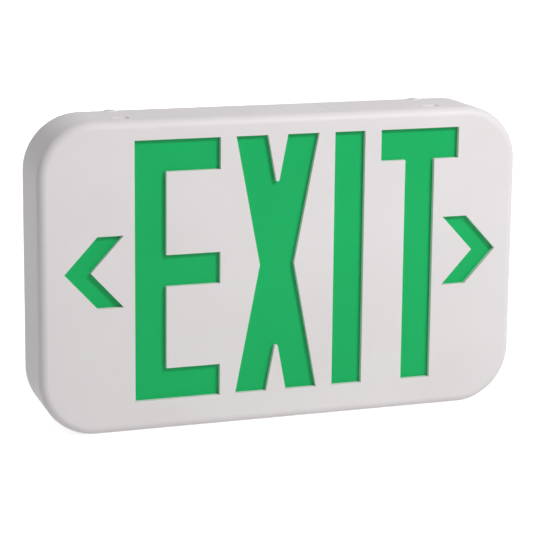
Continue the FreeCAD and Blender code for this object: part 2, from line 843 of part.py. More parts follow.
def pilot_lens():
    """Clear lens pushed through the side wall from inside, domed outside."""
    barrel = rod_x(side_parts_y, pilot_z, pilot_radius, inner_w - pilot_barrel, half_w)
    lip = rod_x(side_parts_y, pilot_z, pilot_radius + pilot_lip, inner_w - pilot_lip_thick, inner_w)
    dome_radius = (pilot_radius ** 2 + pilot_dome ** 2) / (2 * pilot_dome)
    ball = Part.makeSphere(dome_radius, Vector(half_w + pilot_dome - dome_radius, side_parts_y, pilot_z))
    cap = ball.common(rod_x(side_parts_y, pilot_z, pilot_radius + 1, half_w, half_w + 2 * pilot_dome))
    return fused([barrel, lip, cap])


def pilot_led():
    """Right-angle indicator LED in its holder."""
    x1 = board_right + pilot_led_overhang
    half = pilot_holder / 2
    holder = block(x1 - pilot_holder, x1, side_parts_y - half, board_y, pilot_z - half, pilot_z + half)
    bulb = rod_x(side_parts_y, pilot_z, pilot_led_radius, x1, x1 + pilot_led_reach)
    tip = Part.makeSphere(pilot_led_radius, Vector(x1 + pilot_led_reach, side_parts_y, pilot_z))
    return fused([holder, bulb, tip])


def tube_along(points, radius):
    """Round lead through the points, with a tangent arc at each corner as large as its runs allow."""
    edges = []
    start = points[0]
    for n in range(1, len(points) - 1):
        before, corner, after = points[n - 1], points[n], points[n + 1]
        run_in = (corner - before).Length
        run_out = (after - corner).Length
        u = (before - corner).normalize()
        v = (after - corner).normalize()
        trim = 0.45 * min(run_in, run_out)
        first = corner + u * trim
        last = corner + v * trim
        half_turn = (math.pi - u.getAngle(v)) / 2
        bend = trim / math.tan(half_turn)
        bisector = (u + v).normalize()
        middle = corner + bisector * (bend / math.cos(half_turn) - bend)
        edges.append(Part.LineSegment(start, first).toShape())
        edges.append(Part.Arc(first, middle, last).toShape())
        start = last
    edges.append(Part.LineSegment(start, points[-1]).toShape())
    path = Part.Wire(edges)
    section = Part.Wire(Part.makeCircle(radius, points[0], points[1] - points[0]))
    return path.makePipeShell([section], True, False)


lead_run_from_bottom = 6.0
lead_run_lift = 3.0
lead_start_inset = 2.5
clip_from_battery = 30.0
clip_from_board = 22.0
led_lead_inset = 4.0
led_slot_from_edge = 20.0
lead_straight = 9.0
lead_drift = 3.0
lead_fall = 18.0
lead_slack = 1.0
plug_straight = 7.0
header_straight = 4.0
floor_straight = 3.2
lead_run_z = board_bottom + lead_run_from_bottom
lead_run_y = plate_y - lead_run_lift
lead_start_z = lead_start_inset - 2 * cell_radius
clip_places = (battery_end + clip_from_battery, board_left - clip_from_board)
led_lead_x = led_board_half - led_lead_inset
led_lead_z = tray_h - led_slot_from_edge


def lead_clips():
    """Small open cradles that hold the battery leads against the back plate."""
    half = lead_pitch / 2 + lead_radius
    front = lead_run_y - lead_radius
    clips = []
    for x in clip_places:
        saddle = block(x - clip_length / 2, x + clip_length / 2, front, plate_y,
                       lead_run_z - half - clip_wall, lead_run_z + half + clip_wall)
        gap = block(x - clip_length, x + clip_length, front - 1, lead_run_y + lead_radius,
                    lead_run_z - half, lead_run_z + half)
        clips.append(saddle.cut(gap))
    return clips


def battery_lead(n):
    """Lead from the pack's right end through the clips to the plug; n is 0 above, 1 below."""
    shift = lead_pitch * (0.5 - n)
    plug_y = board_y - header_height / 2
    plug_x = board_left + plug_inset
    fall_x = battery_end + lead_straight + shift
    return tube_along([Vector(battery_end, battery_axis_y, lead_start_z + shift),
                       Vector(fall_x, battery_axis_y, lead_start_z + shift),
                       Vector(fall_x + lead_drift, lead_run_y - lead_slack, lead_run_z + lead_fall + shift),
                       Vector(clip_places[0] - 2 * lead_straight + 2 * lead_radius + shift, lead_run_y,
                              lead_run_z + shift),
                       Vector(clip_places[1] + lead_straight - lead_slack, lead_run_y, lead_run_z + shift),
                       Vector(plug_x - plug_straight, plug_y, battery_plug_z + shift),
                       Vector(plug_x, plug_y, battery_plug_z + shift)], lead_radius)


def led_lead(side, n):
    """Lead from the board's header through the light box's floor to one LED strip."""
    shift = lead_pitch * (n - 0.5)
    x_from = led_header_x + shift
    x_to = led_lead_x + shift
    floor_y = tray_back_y - tray_wall / 2
    strip_z = side * (tray_h - tray_wall - led_board_thick)
    head_y = board_y - header_height
    return tube_along([Vector(x_from, head_y, led_header_z(side)),
                       Vector(x_from, head_y - header_straight, led_header_z(side)),
                       Vector(x_to, floor_y + floor_straight, side * led_lead_z),
                       Vector(x_to, floor_y - floor_straight, side * led_lead_z),
                       Vector(x_to, floor_y - floor_straight, strip_z)], lead_radius)


def main():
    nodes = {
        "front_housing": front_housing(),
        "canopy_blank": canopy_blank(),
        "diffuser_panel": diffuser_panel(),
        "diffuser_screws": diffuser_screws(),
        "test_button": test_button(),
        "pilot_lens": pilot_lens(),
        "back_plate": back_plate(),
        "reflector_tray": reflector_tray(),
        "tray_screws": tray_screws(),
        "led_board_upper": led_board(1),
        "led_board_lower": led_board(-1),
        "leds_upper": leds(1),
        "leds_lower": leds(-1),
        "main_board": main_board(),
        "board_screws": board_screws(),
        "transformer_core": transformer_core(),
        "transformer_bobbin": transformer_bobbin(),
        "transformer_coil": transformer_coil(),
        "filter_capacitors": filter_capacitors(),
        "film_capacitor": film_capacitor(),
        "transfer_relay": transfer_relay(),
        "rectifier_diodes": rectifier_diodes(),
        "resistors": resistors(),
        "terminal_block": terminal_block(),
        "terminal_screws": terminal_screws(),
        "test_switch": test_switch(),
        "pilot_led": pilot_led(),
        "battery_pack": battery_pack(),
        "battery_strap": battery_strap(),
        "strap_screws": strap_screws(),
        "battery_plug": battery_plug(),
        "battery_lead_red": battery_lead(0),
        "battery_lead_black": battery_lead(1),
        "led_header_upper": led_header(1),
        "led_header_lower": led_header(-1),
        "led_leads_upper": Part.makeCompound([led_lead(1, 0), led_lead(1, 1)]),
        "led_leads_lower": Part.makeCompound([led_lead(-1, 0), led_lead(-1, 1)]),
    }
    os.makedirs("parts", exist_ok=True)
    for name, shape in nodes.items():
        shape.exportStep("parts/" + name + ".step")
        box = shape.BoundBox
        print(name, "solids", len(shape.Solids), "valid", shape.isValid(), "volume", round(shape.Volume),
              "box", [round(v, 1) for v in (box.XMin, box.XMax, box.YMin, box.YMax, box.ZMin, box.ZMax)])


main()
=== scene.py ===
import json
import math

import bpy
from mathutils import Matrix, Vector

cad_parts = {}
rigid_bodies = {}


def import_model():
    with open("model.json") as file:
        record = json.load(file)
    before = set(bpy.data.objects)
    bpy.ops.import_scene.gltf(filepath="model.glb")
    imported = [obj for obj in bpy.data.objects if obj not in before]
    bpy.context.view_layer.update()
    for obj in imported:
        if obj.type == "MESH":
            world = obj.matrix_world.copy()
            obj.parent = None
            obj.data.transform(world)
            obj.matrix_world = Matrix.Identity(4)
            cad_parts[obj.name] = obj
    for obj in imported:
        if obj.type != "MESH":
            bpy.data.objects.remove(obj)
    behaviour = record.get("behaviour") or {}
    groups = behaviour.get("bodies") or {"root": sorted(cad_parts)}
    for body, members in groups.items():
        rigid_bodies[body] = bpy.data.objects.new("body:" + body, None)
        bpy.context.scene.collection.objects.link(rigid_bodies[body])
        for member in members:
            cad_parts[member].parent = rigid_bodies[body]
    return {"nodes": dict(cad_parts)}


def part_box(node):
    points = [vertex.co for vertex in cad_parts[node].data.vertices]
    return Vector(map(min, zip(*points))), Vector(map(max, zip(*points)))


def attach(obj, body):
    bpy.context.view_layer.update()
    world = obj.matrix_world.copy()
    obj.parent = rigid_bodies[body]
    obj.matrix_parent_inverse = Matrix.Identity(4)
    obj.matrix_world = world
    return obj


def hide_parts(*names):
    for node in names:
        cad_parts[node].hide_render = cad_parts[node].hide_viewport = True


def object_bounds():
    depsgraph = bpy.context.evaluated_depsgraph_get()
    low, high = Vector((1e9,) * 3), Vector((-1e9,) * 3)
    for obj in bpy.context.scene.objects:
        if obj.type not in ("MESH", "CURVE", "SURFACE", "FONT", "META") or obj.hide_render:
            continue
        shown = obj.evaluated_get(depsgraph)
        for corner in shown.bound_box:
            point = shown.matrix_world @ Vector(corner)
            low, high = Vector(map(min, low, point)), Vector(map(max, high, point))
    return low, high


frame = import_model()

cad_lowest, cad_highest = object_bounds()
nodes = frame["nodes"]
MM = 0.001
WELD = 0.002 * MM  # corners nearer than this are one corner
PAD_DEPTH = 2.8 * MM  # from the face down to the green, from the walls of the openings in the photograph
LED_PITCH_MM = 20
LEDS_PER_STRIP = 10
NOISE_LOW, NOISE_HIGH = 0.3, 0.7  # the range that a noise mostly fills
SMOOTH_ANGLE = math.radians(35)  # edges under this are smooth


def srgb(colour):
    """Linear colour from an sRGB hex number."""
    shares = [(colour >> shift & 255) / 255 for shift in (16, 8, 0)]
    return [s / 12.92 if s < 0.04045 else ((s + 0.055) / 1.055) ** 2.4 for s in shares] + [1.0]


def add(tree, kind, values=None, links=None, stops=None, steps="LINEAR", **options):
    """One shader node with its socket values, its links, its colour stops and its own options."""
    node = tree.nodes.new("ShaderNode" + kind)
    for name, value in options.items():
        setattr(node, name, value)
    if stops:
        node.color_ramp.interpolation = steps
        while len(node.color_ramp.elements) < len(stops):
            node.color_ramp.elements.new(0.5)
        for element, (position, colour) in zip(node.color_ramp.elements, stops):
            element.position = position
            element.color = srgb(colour)
    for socket, value in (values or {}).items():
        node.inputs[socket].default_value = value
    for socket, source in (links or {}).items():
        tree.links.new(source, node.inputs[socket])
    return node


def surface(name, values):
    """A new material: its node tree, its Principled shader and the object's own coordinates."""
    material = bpy.data.materials.new(name)
    material.use_nodes = True
    tree = material.node_tree
    tree.nodes.clear()
    shader = add(tree, "BsdfPrincipled", values)
    add(tree, "OutputMaterial", links={"Surface": shader.outputs["BSDF"]})
    place = add(tree, "TexCoord").outputs["Object"]
    return material, tree, shader, place


def moulded(name, light, dark, grain_mm=0.9, relief=0.05, roughness=(0.42, 0.55), values=None):
    """Moulded thermoplastic: the spark-eroded tool leaves a fine even grain, and the melt flows leave faint
    clouds of tone, about 55 mm wide. The real grain is about 0.1 mm and is drawn coarser so that it shows."""
    material, tree, shader, place = surface(name, {"IOR": 1.54, **(values or {})})
    clouds = add(tree, "TexNoise", {"Scale": 1 / (55 * MM), "Detail": 2.0, "Roughness": 0.45},
                 {"Vector": place})
    tone = add(tree, "ValToRGB", links={"Fac": clouds.outputs["Fac"]},
               stops=[(NOISE_LOW, dark), (NOISE_HIGH, light)])
    tree.links.new(tone.outputs["Color"], shader.inputs["Base Color"])
    grain = add(tree, "TexNoise", {"Scale": 1 / (grain_mm * MM), "Detail": 2.0, "Roughness": 0.6},
                {"Vector": place})
    smoothest, roughest = roughness
    sheen = add(tree, "MapRange", {"From Min": NOISE_LOW, "From Max": NOISE_HIGH,
                                   "To Min": smoothest, "To Max": roughest}, {"Value": grain.outputs["Fac"]})
    tree.links.new(sheen.outputs["Result"], shader.inputs["Roughness"])
    bump = add(tree, "Bump", {"Strength": relief, "Distance": 0.05 * MM}, {"Height": grain.outputs["Fac"]})
    tree.links.new(bump.outputs["Normal"], shader.inputs["Normal"])
    return material


def banded(tree, shader, place, axis, stops, low, high):
    """Stepped colours along one axis between two places in metres, as sleeves and printed rings are."""
    split = add(tree, "SeparateXYZ", links={"Vector": place})
    share = add(tree, "MapRange", {"From Min": low, "From Max": high}, {"Value": split.outputs[axis]})
    rings = add(tree, "ValToRGB", links={"Fac": share.outputs["Result"]}, stops=stops, steps="CONSTANT")
    tree.links.new(rings.outputs["Color"], shader.inputs["Base Color"])


def metal(name, colour, roughness, scratch_mm):
    """Bare or plated metal with rolling and handling scratches that vary its gloss. The real ones are under
    0.1 mm wide and are drawn coarser so that they show."""
    material, tree, shader, place = surface(name, {"Metallic": 1.0, "Base Color": srgb(colour)})
    scratch = add(tree, "TexNoise", {"Scale": 1 / (scratch_mm * MM), "Detail": 4.0}, {"Vector": place})
    gloss = add(tree, "MapRange", {"From Min": NOISE_LOW, "From Max": NOISE_HIGH,
                                   "To Min": roughness - 0.08, "To Max": roughness + 0.1},
                {"Value": scratch.outputs["Fac"]})
    tree.links.new(gloss.outputs["Result"], shader.inputs["Roughness"])
    bump = add(tree, "Bump", {"Strength": 0.15, "Distance": 0.03 * MM}, {"Height": scratch.outputs["Fac"]})
    tree.links.new(bump.outputs["Normal"], shader.inputs["Normal"])
    return material


# The grain of the visible white mouldings scatters their gloss, so it is weaker than that of plain ABS.
WEAK_GLOSS = {"Specular IOR Level": 0.3}
# Injection-moulded ABS, warm white, from a fine spark-eroded tool: a soft satin with no sharp reflections.
housing_abs = moulded("abs_satin_warm_white", 0xECE7E8, 0xE8E2E3, values=WEAK_GLOSS)
# The canopy blank is a separate shot of the same ABS from a smoother tool: the same white, a little glossier.
blank_abs = moulded("abs_satin_smooth", 0xECE7E8, 0xE9E3E4, grain_mm=1.2, relief=0.03, roughness=(0.4, 0.5),
                    values=WEAK_GLOSS)
# The back plate is a regrind of the same white: a little greyer and more matt.
plate_abs = moulded("abs_regrind_white", 0xDEDAD8, 0xDAD6D4, roughness=(0.48, 0.6))


def dyed_diffuser():
    """Extruded polycarbonate dyed green, 2 mm, matt on the front: light goes in and spreads before it comes
    back, so the colour stays deep, with faint clouds in the dye and a rolled stipple of about 1.4 mm."""
    material, tree, shader, place = surface("polycarbonate_green_matt", {
        "IOR": 1.585, "Roughness": 0.34, "Specular IOR Level": 0.18,
        "Subsurface Weight": 0.1, "Subsurface Scale": 2 * MM, "Subsurface Radius": (0.4, 1.0, 0.5)})
    clouds = add(tree, "TexNoise", {"Scale": 1 / (70 * MM), "Detail": 1.5}, {"Vector": place})
    tone = add(tree, "ValToRGB", links={"Fac": clouds.outputs["Fac"]},
               stops=[(NOISE_LOW, 0x00B261), (NOISE_HIGH, 0x02B764)])
    tree.links.new(tone.outputs["Color"], shader.inputs["Base Color"])
    stipple = add(tree, "TexVoronoi", {"Scale": 1 / (1.4 * MM)}, {"Vector": place}, feature="SMOOTH_F1")
    bump = add(tree, "Bump", {"Strength": 0.12, "Distance": 0.06 * MM},
               {"Height": stipple.outputs["Distance"]})
    tree.links.new(bump.outputs["Normal"], shader.inputs["Normal"])
    return material


def clear_lens():
    """Polycarbonate lens dyed red in the mass: clear and glossy from a polished tool, with faint flow clouds
    in the dye."""
    material, tree, shader, place = surface("polycarbonate_red_clear", {
        "IOR": 1.585, "Roughness": 0.08, "Transmission Weight": 0.55,
        "Coat Weight": 0.3, "Coat Roughness": 0.05})
    flow = add(tree, "TexNoise", {"Scale": 1 / (2 * MM), "Detail": 1.0}, {"Vector": place})
    tone = add(tree, "ValToRGB", links={"Fac": flow.outputs["Fac"]},
               stops=[(NOISE_LOW, 0xB01E16), (NOISE_HIGH, 0xC8281E)])
    tree.links.new(tone.outputs["Color"], shader.inputs["Base Color"])
    return material


def board(name, mask, copper, track_mm):
    """Glass-epoxy board under solder mask: the copper below shows as slightly lighter tracks on a fine weave.
    The real weave is about 0.4 mm and is drawn at 1.2 mm so that it shows."""
    material, tree, shader, place = surface(name, {
        "IOR": 1.5, "Roughness": 0.32, "Coat Weight": 0.25, "Coat Roughness": 0.15})
    turned = add(tree, "Mapping", {"Rotation": (math.pi / 2, 0, 0)}, {"Vector": place}).outputs["Vector"]
    tracks = add(tree, "TexBrick", {
        "Scale": 1 / (track_mm * MM), "Color1": srgb(mask), "Color2": srgb(copper), "Mortar": srgb(mask),
        "Mortar Size": 0.12, "Bias": -0.35, "Brick Width": 3.2, "Row Height": 0.5},
        {"Vector": turned}, offset=0.37, squash=1.8)
    tree.links.new(tracks.outputs["Color"], shader.inputs["Base Color"])
    weave = add(tree, "TexWave", {"Scale": 1 / (1.2 * MM) / math.tau, "Distortion": 0.4}, {"Vector": turned})
    bump = add(tree, "Bump", {"Strength": 0.08, "Distance": 0.04 * MM}, {"Height": weave.outputs["Fac"]})
    tree.links.new(bump.outputs["Normal"], shader.inputs["Normal"])
    return material


def led_package():
    """Moulded white PPA packages, bright and dull, each with a yellow phosphor window 2 mm wide in its
    middle."""
    material, tree, shader, place = surface("led_ppa_and_phosphor", {"IOR": 1.5, "Roughness": 0.35})
    split = add(tree, "SeparateXYZ", links={"Vector": place})
    cell = add(tree, "Math", {1: LED_PITCH_MM * MM}, {0: split.outputs["X"]}, operation="PINGPONG")
    off = add(tree, "Math", {1: LED_PITCH_MM / 2 * MM}, {0: cell.outputs["Value"]}, operation="SUBTRACT")
    window = add(tree, "Math", links={0: off.outputs["Value"]}, operation="ABSOLUTE")
    share = add(tree, "MapRange", {"From Min": 0.0, "From Max": 2 * MM}, {"Value": window.outputs["Value"]})
    glow = add(tree, "ValToRGB", links={"Fac": share.outputs["Result"]},
               stops=[(0.0, 0xF1D43C), (0.5, 0xF4F2EA)], steps="CONSTANT")
    tree.links.new(glow.outputs["Color"], shader.inputs["Base Color"])
    return material


def laminated_core():
    """Stack of 0.5 mm silicon-steel laminations, varnished: dark bluish steel with fine edge lines, drawn
    0.9 mm apart so that they show."""
    material, tree, shader, place = surface("silicon_steel_laminations",
                                            {"Metallic": 0.85, "Roughness": 0.45})
    edges = add(tree, "TexWave", {"Scale": 1 / (0.9 * MM) / math.tau, "Distortion": 0.6, "Detail": 1.0},
                {"Vector": place}, bands_direction="Y")
    tone = add(tree, "ValToRGB", links={"Fac": edges.outputs["Fac"]},
               stops=[(0.2, 0x3B3D42), (0.8, 0x75787D)])
    tree.links.new(tone.outputs["Color"], shader.inputs["Base Color"])
    bump = add(tree, "Bump", {"Strength": 0.3, "Distance": 0.08 * MM}, {"Height": edges.outputs["Fac"]})
    tree.links.new(bump.outputs["Normal"], shader.inputs["Normal"])
    return material


def coil_tape():
    """Yellow polyester tape wound over the winding: a glossy film with a darker step at the overlap of each
    6 mm turn."""
    material, tree, shader, place = surface("polyester_tape_yellow",
                                            {"IOR": 1.6, "Roughness": 0.28, "Coat Weight": 0.2})
    turns = add(tree, "TexWave", {"Scale": 1 / (6 * MM) / math.tau, "Distortion": 0.3}, {"Vector": place},
                bands_direction="Z", wave_profile="SAW")
    tone = add(tree, "ValToRGB", links={"Fac": turns.outputs["Fac"]},
               stops=[(0.0, 0xD9A520), (0.9, 0xE5B733), (1.0, 0xB88A18)])
    tree.links.new(tone.outputs["Color"], shader.inputs["Base Color"])
    bump = add(tree, "Bump", {"Strength": 0.3, "Distance": 0.06 * MM}, {"Height": turns.outputs["Fac"]})
    tree.links.new(bump.outputs["Normal"], shader.inputs["Normal"])
    return material


def capacitor_cans():
    """Aluminium can in a dark blue PVC sleeve: glossy and faintly wrinkled where it shrank, with the can bare
    at the top."""
    material, tree, shader, place = surface("pvc_sleeve_and_can", {"IOR": 1.53, "Roughness": 0.3})
    low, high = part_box("filter_capacitors")
    banded(tree, shader, place, "Y", [(0.0, 0xC9CBCD), (0.05, 0x1B2340)], low[1], high[1])
    wrinkle = add(tree, "TexNoise", {"Scale": 1 / (2.5 * MM), "Detail": 2.0}, {"Vector": place})
    bump = add(tree, "Bump", {"Strength": 0.15, "Distance": 0.1 * MM}, {"Height": wrinkle.outputs["Fac"]})
    tree.links.new(bump.outputs["Normal"], shader.inputs["Normal"])
    return material


TINNED = 0xB9BABC
RING_WIDTH = 0.05  # share of an axial part's whole length


def axial_bands(name, node, body, bands, roughness):
    """Small axial part, dipped or moulded: its body colour with printed rings along X, and bright tinned legs
    over the outer fifth at both ends."""
    material, tree, shader, place = surface(name, {"IOR": 1.5, "Roughness": roughness})
    low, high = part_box(node)
    stops = [(0.0, TINNED), (0.2, body)]
    for at, ring in bands:
        stops += [(at, ring), (at + RING_WIDTH, body)]
    stops.append((0.8, TINNED))
    banded(tree, shader, place, "X", stops, low[0], high[0])
    speck = add(tree, "TexNoise", {"Scale": 1 / (0.6 * MM), "Detail": 2.0}, {"Vector": place})
    bump = add(tree, "Bump", {"Strength": 0.1, "Distance": 0.05 * MM}, {"Height": speck.outputs["Fac"]})
    tree.links.new(bump.outputs["Normal"], shader.inputs["Normal"])
    return material


def shrink_wrap():
    """Blue PVC shrink sleeve over three cells: glossy, with fine tension wrinkles along the cells."""
    material, tree, shader, place = surface("pvc_shrink_blue", {
        "IOR": 1.53, "Roughness": 0.22, "Coat Weight": 0.3, "Coat Roughness": 0.1})
    stretched = add(tree, "Mapping", {"Scale": (0.25, 1, 1)}, {"Vector": place})
    wrinkle = add(tree, "TexNoise", {"Scale": 1 / (3 * MM), "Detail": 3.0},
                  {"Vector": stretched.outputs["Vector"]})
    tone = add(tree, "ValToRGB", links={"Fac": wrinkle.outputs["Fac"]},
               stops=[(NOISE_LOW, 0x1F4F93), (NOISE_HIGH, 0x2C62AC)])
    tree.links.new(tone.outputs["Color"], shader.inputs["Base Color"])
    bump = add(tree, "Bump", {"Strength": 0.35, "Distance": 0.25 * MM}, {"Height": wrinkle.outputs["Fac"]})
    tree.links.new(bump.outputs["Normal"], shader.inputs["Normal"])
    return material


# The button is ABS moulded red, from a smoother tool than the housing, so it is a little glossier.
button_abs = moulded("abs_signal_red", 0xB9211C, 0xAC1C18, grain_mm=1.0, relief=0.04, roughness=(0.32, 0.42))
# The light box is matt polypropylene, whiter than the housing so that it throws the light forwards.
box_pp = moulded("polypropylene_reflector_white", 0xF3F3F1, 0xEEEEEC, grain_mm=1.5, roughness=(0.6, 0.72))
# The relay's case is PBT from a smooth tool: a hard, even, slightly glossy blue.
relay_pbt = moulded("pbt_blue", 0x1D4D8C, 0x1A447C, roughness=(0.3, 0.42))
# The film capacitor is dipped in red epoxy, which sets glossy and a little lumpy.
film_epoxy = moulded("epoxy_dip_red", 0x9C2218, 0x8C1D15, grain_mm=2.5, relief=0.2, roughness=(0.18, 0.28))
# Moulded nylon has a soft, slightly waxy gloss: undyed and creamy, dyed green or black, and a white grade.
NYLON_GLOSS = (0.35, 0.48)
bobbin_nylon = moulded("nylon_natural", 0xE6E0CC, 0xDDD6C0, roughness=NYLON_GLOSS)
terminal_nylon = moulded("nylon_green", 0x2C7A48, 0x276D40, roughness=NYLON_GLOSS)
switch_nylon = moulded("nylon_black", 0x1B1B1C, 0x161617, roughness=NYLON_GLOSS)
strap_nylon = moulded("nylon_white", 0xE9E6E0, 0xE0DDD6, roughness=(0.4, 0.52))
# The pilot LED is cast in red epoxy from a polished mould: glossy, with almost no grain.
led_epoxy = moulded("epoxy_lens_red", 0xC92A22, 0xBC241D, grain_mm=4.0, relief=0.02, roughness=(0.1, 0.16))
# PVC lead insulation is drawn soft and slightly waxy, with a long faint flow grain.
LEAD_SKIN = {"grain_mm": 1.6, "relief": 0.06, "roughness": (0.38, 0.5)}
lead_pvc_red = moulded("pvc_lead_red", 0xB3201B, 0xA61C18, **LEAD_SKIN)
lead_pvc_black = moulded("pvc_lead_black", 0x1A1A1B, 0x141415, **LEAD_SKIN)
lead_pvc_white = moulded("pvc_lead_white", 0xE8E6E1, 0xDEDCD6, **LEAD_SKIN)
# Zinc plating with a clear passivation: bright and slightly bluish.
screw_steel = metal("steel_zinc_plated", 0xC4C6CA, roughness=0.3, scratch_mm=0.5)
# Nickel plating: a little warmer and glossier than zinc.
terminal_steel = metal("steel_nickel_plated", 0xD0CDC6, roughness=0.26, scratch_mm=0.4)
# Tin solder, set in air: bright, with an uneven grey skin.
solder_tin = metal("tin_solder", 0xB9BBBE, roughness=0.3, scratch_mm=0.5)
# Silicone filled with yellow phosphor, cast over the chip: soft gloss and a faint cloud of settled powder.
dome_silicone = moulded("silicone_phosphor_yellow", 0xF2D83F, 0xEBCB30, grain_mm=0.8, relief=0.02,
                        roughness=(0.18, 0.26))

FINISHES = {
    "canopy_blank": blank_abs,
    "diffuser_panel": dyed_diffuser(),
    "test_button": button_abs,
    "pilot_lens": clear_lens(),
    "back_plate": plate_abs,
    "reflector_tray": box_pp,
    "led_board_upper": board("fr4_white_mask", 0xF0EFE9, 0xDCDAD2, track_mm=2.2),
    "main_board": board("fr4_green_mask", 0x0E5A2C, 0x1D7A41, track_mm=2.6),
    "leds_upper": led_package(),
    "transformer_core": laminated_core(),
    "transformer_bobbin": bobbin_nylon,
    "transformer_coil": coil_tape(),
    "filter_capacitors": capacitor_cans(),
    "film_capacitor": film_epoxy,
    "transfer_relay": relay_pbt,
    # Black moulded epoxy, a dull gloss, with the silver ring that marks the cathode.
    "rectifier_diodes": axial_bands("diode_epoxy_black", "rectifier_diodes", 0x17171A,
                                    [(0.66, 0xC4C4C6)], roughness=0.35),
    # Baked tan lacquer, slightly glossy, with four printed rings.
    "resistors": axial_bands("resistor_lacquer_tan", "resistors", 0xD2B077,
                             [(0.28, 0x6B3A1E), (0.38, 0x151515), (0.48, 0xA8281E), (0.64, 0xB08A2E)],
                             roughness=0.3),
    "terminal_block": terminal_nylon,
    "test_switch": switch_nylon,
    "pilot_led": led_epoxy,
    "battery_pack": shrink_wrap(),
    "battery_strap": strap_nylon,
    "battery_plug": strap_nylon,
    "battery_lead_red": lead_pvc_red,
    "battery_lead_black": lead_pvc_black,
    "led_header_upper": strap_nylon,
    "led_header_lower": strap_nylon,
    "led_leads_upper": lead_pvc_white,
    "led_leads_lower": lead_pvc_white,
    "terminal_screws": terminal_steel,
}
FINISHES["led_board_lower"] = FINISHES["led_board_upper"]
FINISHES["leds_lower"] = FINISHES["leds_upper"]
for screws in ("diffuser_screws", "tray_screws", "board_screws", "strap_screws"):
    FINISHES[screws] = screw_steel


def wear(piece, material):
    """The piece's only material."""
    piece.data.materials.clear()
    piece.data.materials.append(material)


def edit(piece):
    """Only this piece selected, in edit mode, with nothing in it selected."""
    bpy.ops.object.select_all(action="DESELECT")
    bpy.context.view_layer.objects.active = piece
    piece.select_set(True)
    bpy.ops.object.mode_set(mode="EDIT")
    bpy.ops.mesh.select_all(action="DESELECT")


def pick(piece, chosen):
    """The piece in edit mode, with only those of its corners selected whose place is chosen."""
    edit(piece)
    bpy.ops.mesh.select_mode(type="VERT")
    bpy.ops.object.mode_set(mode="OBJECT")
    for corner in piece.data.vertices:
        corner.select = chosen(corner.co)
    bpy.ops.object.mode_set(mode="EDIT")


def push(piece, chosen, way):
    """The chosen corners of the piece moved by one vector."""
    pick(piece, chosen)
    bpy.ops.transform.translate(value=way)
    bpy.ops.object.mode_set(mode="OBJECT")


def apply(piece, kind, name, **settings):
    """One modifier with its settings, applied to the piece."""
    bpy.context.view_layer.objects.active = piece
    modifier = piece.modifiers.new(name, kind)
    for setting, value in settings.items():
        setattr(modifier, setting, value)
    bpy.ops.object.modifier_apply(modifier=modifier.name)


def joined(pieces, name):
    """The pieces as one object."""
    bpy.ops.object.select_all(action="DESELECT")
    for piece in pieces:
        piece.select_set(True)
    bpy.context.view_layer.objects.active = pieces[0]
    bpy.ops.object.join()
    pieces[0].name = name
    return pieces[0]


def copied(node, name):
    """A copy of the node's mesh as a new object in edit mode, all selected, its double corners merged."""
    piece = bpy.data.objects.new(name, nodes[node].data.copy())
    bpy.context.scene.collection.objects.link(piece)
    edit(piece)
    bpy.ops.mesh.select_all(action="SELECT")
    bpy.ops.mesh.remove_doubles(threshold=WELD)
    return piece


def softened(node, name, radius_mm):
    """The node's own form with the small moulded radius on its sharp edges, standing for the node. The edges
    of the canopy opening stay sharp, because its blank closes them with a hairline seam."""
    piece = copied(node, name)
    bpy.ops.mesh.dissolve_limited(angle_limit=math.radians(0.2))
    bpy.ops.mesh.select_mode(type="EDGE")
    bpy.ops.mesh.select_all(action="DESELECT")
    bpy.ops.mesh.edges_select_sharp(sharpness=math.radians(40))
    bpy.ops.object.mode_set(mode="OBJECT")
    if node in ("front_housing", "canopy_blank"):
        low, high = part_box("canopy_blank")
        for edge in piece.data.edges:
            middle = sum((piece.data.vertices[n].co for n in edge.vertices), Vector()) / 2
            if low[0] - MM < middle.x < high[0] + MM and middle.y > low[1] - MM and middle.z > low[2] - MM:
                edge.select = False
    bpy.ops.object.mode_set(mode="EDIT")
    bpy.ops.transform.edge_bevelweight(value=1.0)
    bpy.ops.object.mode_set(mode="OBJECT")
    apply(piece, "BEVEL", "moulded_radius", width=radius_mm * MM, segments=2, limit_method="WEIGHT",
          use_clamp_overlap=True)
    bpy.ops.object.shade_smooth_by_angle(angle=SMOOTH_ANGLE)
    apply(piece, "WEIGHTED_NORMAL", "flat_faces_stay_flat", keep_sharp=True, weight=100)
    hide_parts(node)
    return piece


def close_seam(blank):
    """The blank's plate pressed out to a hairline from the edges of its opening, and up to the wall's
    surface."""
    low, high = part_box("canopy_blank")
    middle, half = (low[0] + high[0]) / 2, (high[0] - low[0]) / 2
    plate_half = half - 3 * MM  # the blank's lip reaches 3 mm past its plate
    side_gap, top_gap = 0.16 * MM, 0.17 * MM
    push(blank, lambda v: v.z > high[2] - 0.1 * MM, (0, 0, top_gap))
    push(blank, lambda v: abs(v.x - middle - plate_half) < 0.7 * MM, (side_gap, 0, 0))
    push(blank, lambda v: abs(v.x - middle + plate_half) < 0.7 * MM, (-side_gap, 0, 0))
    # The plate's front edge lies 1 to 2.2 mm behind the front of the lip.
    push(blank, lambda v: low[1] + MM < v.y < low[1] + 2.2 * MM, (0, -side_gap, 0))


